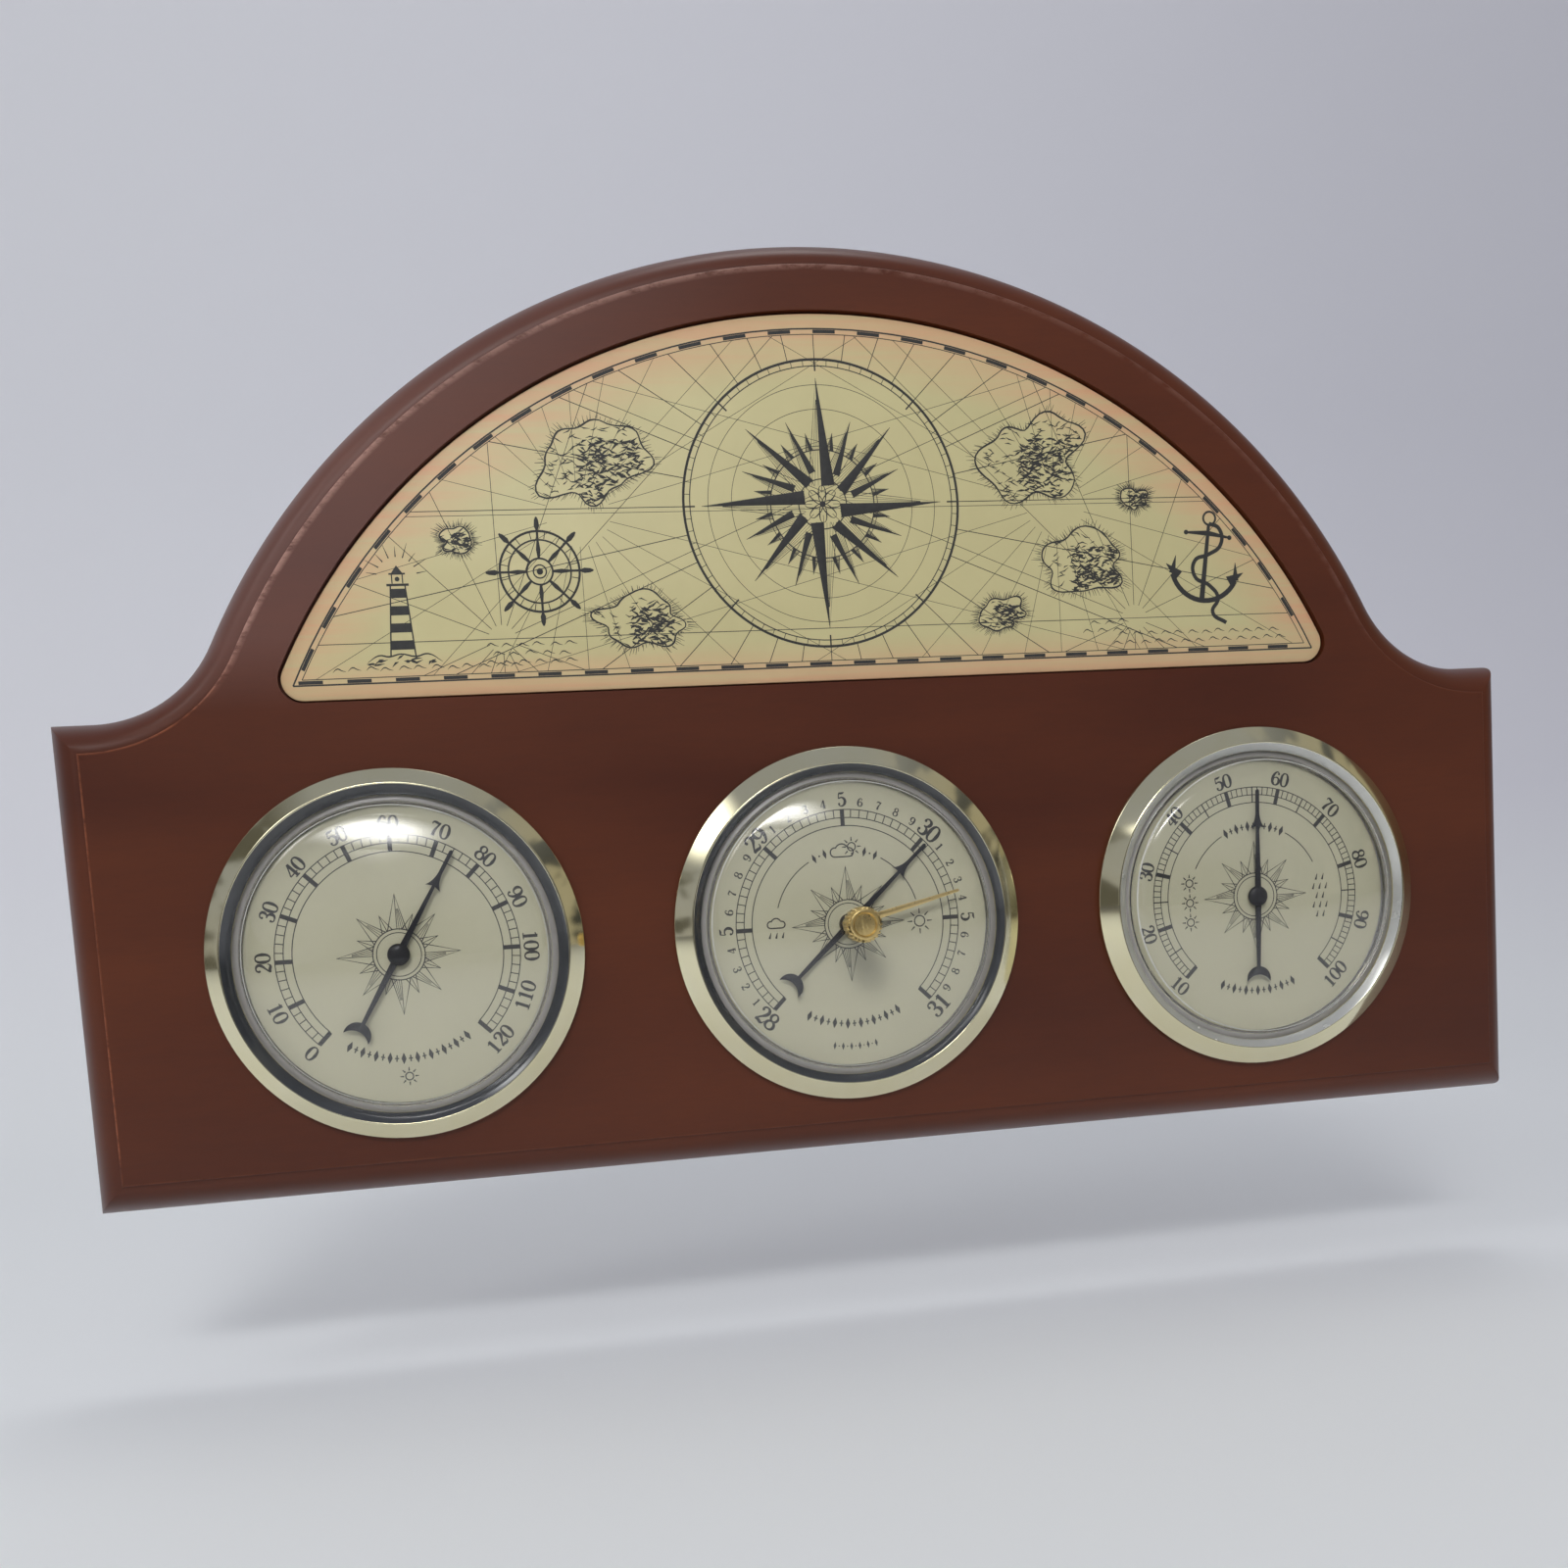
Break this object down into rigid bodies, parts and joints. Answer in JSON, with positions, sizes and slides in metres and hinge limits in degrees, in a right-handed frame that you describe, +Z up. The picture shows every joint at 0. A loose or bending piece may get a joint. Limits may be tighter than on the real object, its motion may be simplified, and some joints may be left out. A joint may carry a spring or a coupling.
{
  "type": "wall weather station",
  "caption": "Arched wooden wall plaque with a moulded edge and an inlay panel, carrying a thermometer, an aneroid barometer with a set hand, and a hygrometer side by side.",
  "frame": {"origin": "on the wall plane behind the plaque, at the middle notch of the sawtooth hanger that bears on the wall's nail", "axes": "+X to the right along the row of dials seen from the front, +Y into the wall, +Z up; the dials face -Y"},
  "size_m": [0.3344, 0.039, 0.2032],
  "materials": {
    "stained_wood": "dark reddish brown stain under satin lacquer, rubbed lighter along the edges",
    "printed_inlay": "cream and pale gold printed laminate, satin",
    "gold_metal": "polished pale gold plate",
    "clear_lens": "clear domed lens",
    "black_rubber": "matte",
    "printed_dial": "cream enamel with dark grey print, satin",
    "black_hand": "semi-gloss black",
    "bright_steel": "plated, satin",
    "movement_brass": "stamped, plain"
  },
  "bodies": {
    "root": {"wood_plaque": "stained_wood", "inlay_panel": "printed_inlay", "sawtooth_hanger": "bright_steel", "hanger_nail_left": "bright_steel", "hanger_nail_right": "bright_steel", "wall_bumper_left": "black_rubber", "wall_bumper_right": "black_rubber", "thermometer_bezel": "gold_metal", "thermometer_lens": "clear_lens", "thermometer_lens_gasket": "black_rubber", "thermometer_dial": "printed_dial", "thermometer_case": "bright_steel", "thermometer_grip_ring": "black_rubber", "thermometer_bush": "movement_brass", "thermometer_bridge": "movement_brass", "thermometer_coil": "movement_brass", "thermometer_coil_post": "movement_brass", "barometer_bezel": "gold_metal", "barometer_lens": "clear_lens", "barometer_lens_gasket": "black_rubber", "barometer_dial": "printed_dial", "barometer_case": "bright_steel", "barometer_grip_ring": "black_rubber", "barometer_base_plate": "movement_brass", "barometer_pillar_top": "movement_brass", "barometer_pillar_bottom": "movement_brass", "barometer_front_plate": "movement_brass", "barometer_rear_plate": "movement_brass", "barometer_capsule": "bright_steel", "barometer_chain": "bright_steel", "barometer_hairspring": "bright_steel", "barometer_hairspring_stud": "movement_brass", "hygrometer_bezel": "gold_metal", "hygrometer_lens": "clear_lens", "hygrometer_lens_gasket": "black_rubber", "hygrometer_dial": "printed_dial", "hygrometer_case": "bright_steel", "hygrometer_grip_ring": "black_rubber", "hygrometer_bush": "movement_brass", "hygrometer_bridge": "movement_brass", "hygrometer_coil": "movement_brass", "hygrometer_coil_post": "movement_brass"},
    "thermometer_hand": {"thermometer_pointer": "black_hand", "thermometer_arbor": "bright_steel"},
    "hygrometer_hand": {"hygrometer_pointer": "black_hand", "hygrometer_arbor": "bright_steel"},
    "barometer_hand": {"barometer_pointer": "black_hand", "barometer_arbor": "bright_steel"},
    "rocker": {"barometer_rocker": "bright_steel"},
    "capsule_arm": {"barometer_capsule_arm": "bright_steel"},
    "set_hand": {"barometer_set_hand": "gold_metal", "barometer_set_knob": "gold_metal", "barometer_set_hand_washer": "bright_steel"},
    "adjusting_screw": {"barometer_capsule_screw": "bright_steel"}
  },
  "joints": [
    {"name": "thermometer_hand_turn", "type": "hinge", "parent": "root", "child": "thermometer_hand", "pos_m": [-0.0992, -0.022, -0.12501], "axis": [0, 1, 0], "range_deg": [-166.05, 103.95], "stiffness_Nm_per_rad": 0.0001, "deforming": ["thermometer_coil"]},
    {"name": "hygrometer_hand_turn", "type": "hinge", "parent": "root", "child": "hygrometer_hand", "pos_m": [0.0992, -0.022, -0.12501], "axis": [0, 1, 0], "range_deg": [-136.5, 133.5], "stiffness_Nm_per_rad": 0.0001, "deforming": ["hygrometer_coil"]},
    {"name": "barometer_hand_turn", "type": "hinge", "parent": "root", "child": "barometer_hand", "pos_m": [0, -0.022, -0.12501], "axis": [0, 1, 0], "range_deg": [-182.7, 87.3], "stiffness_Nm_per_rad": 0.0001, "deforming": ["barometer_hairspring", "barometer_chain"]},
    {"name": "rocker_turn", "type": "hinge", "parent": "root", "child": "rocker", "pos_m": [-0.02, -0.0084, -0.12501], "axis": [0, 0, 1], "range_deg": [-15.8, 7.55]},
    {"name": "capsule_arm_turn", "type": "hinge", "parent": "root", "child": "capsule_arm", "pos_m": [0.0197, -0.0084, -0.12501], "axis": [0, 0, 1], "range_deg": [-0.26, 0.54], "deforming": ["barometer_capsule"]},
    {"name": "set_hand_turn", "type": "hinge", "parent": "root", "child": "set_hand", "pos_m": [0, -0.022, -0.12501], "axis": [0, 1, 0], "continuous": true},
    {"name": "adjusting_screw_turn", "type": "hinge", "parent": "root", "child": "adjusting_screw", "pos_m": [0.002, -0.0058, -0.12501], "axis": [0, 1, 0], "range_deg": [-180, 180]}
  ],
  "couplings": [
    {"joint": "rocker_turn", "follows": "barometer_hand_turn", "ratio": 0.08642},
    {"joint": "capsule_arm_turn", "follows": "barometer_hand_turn", "ratio": -0.0029258}
  ]
}
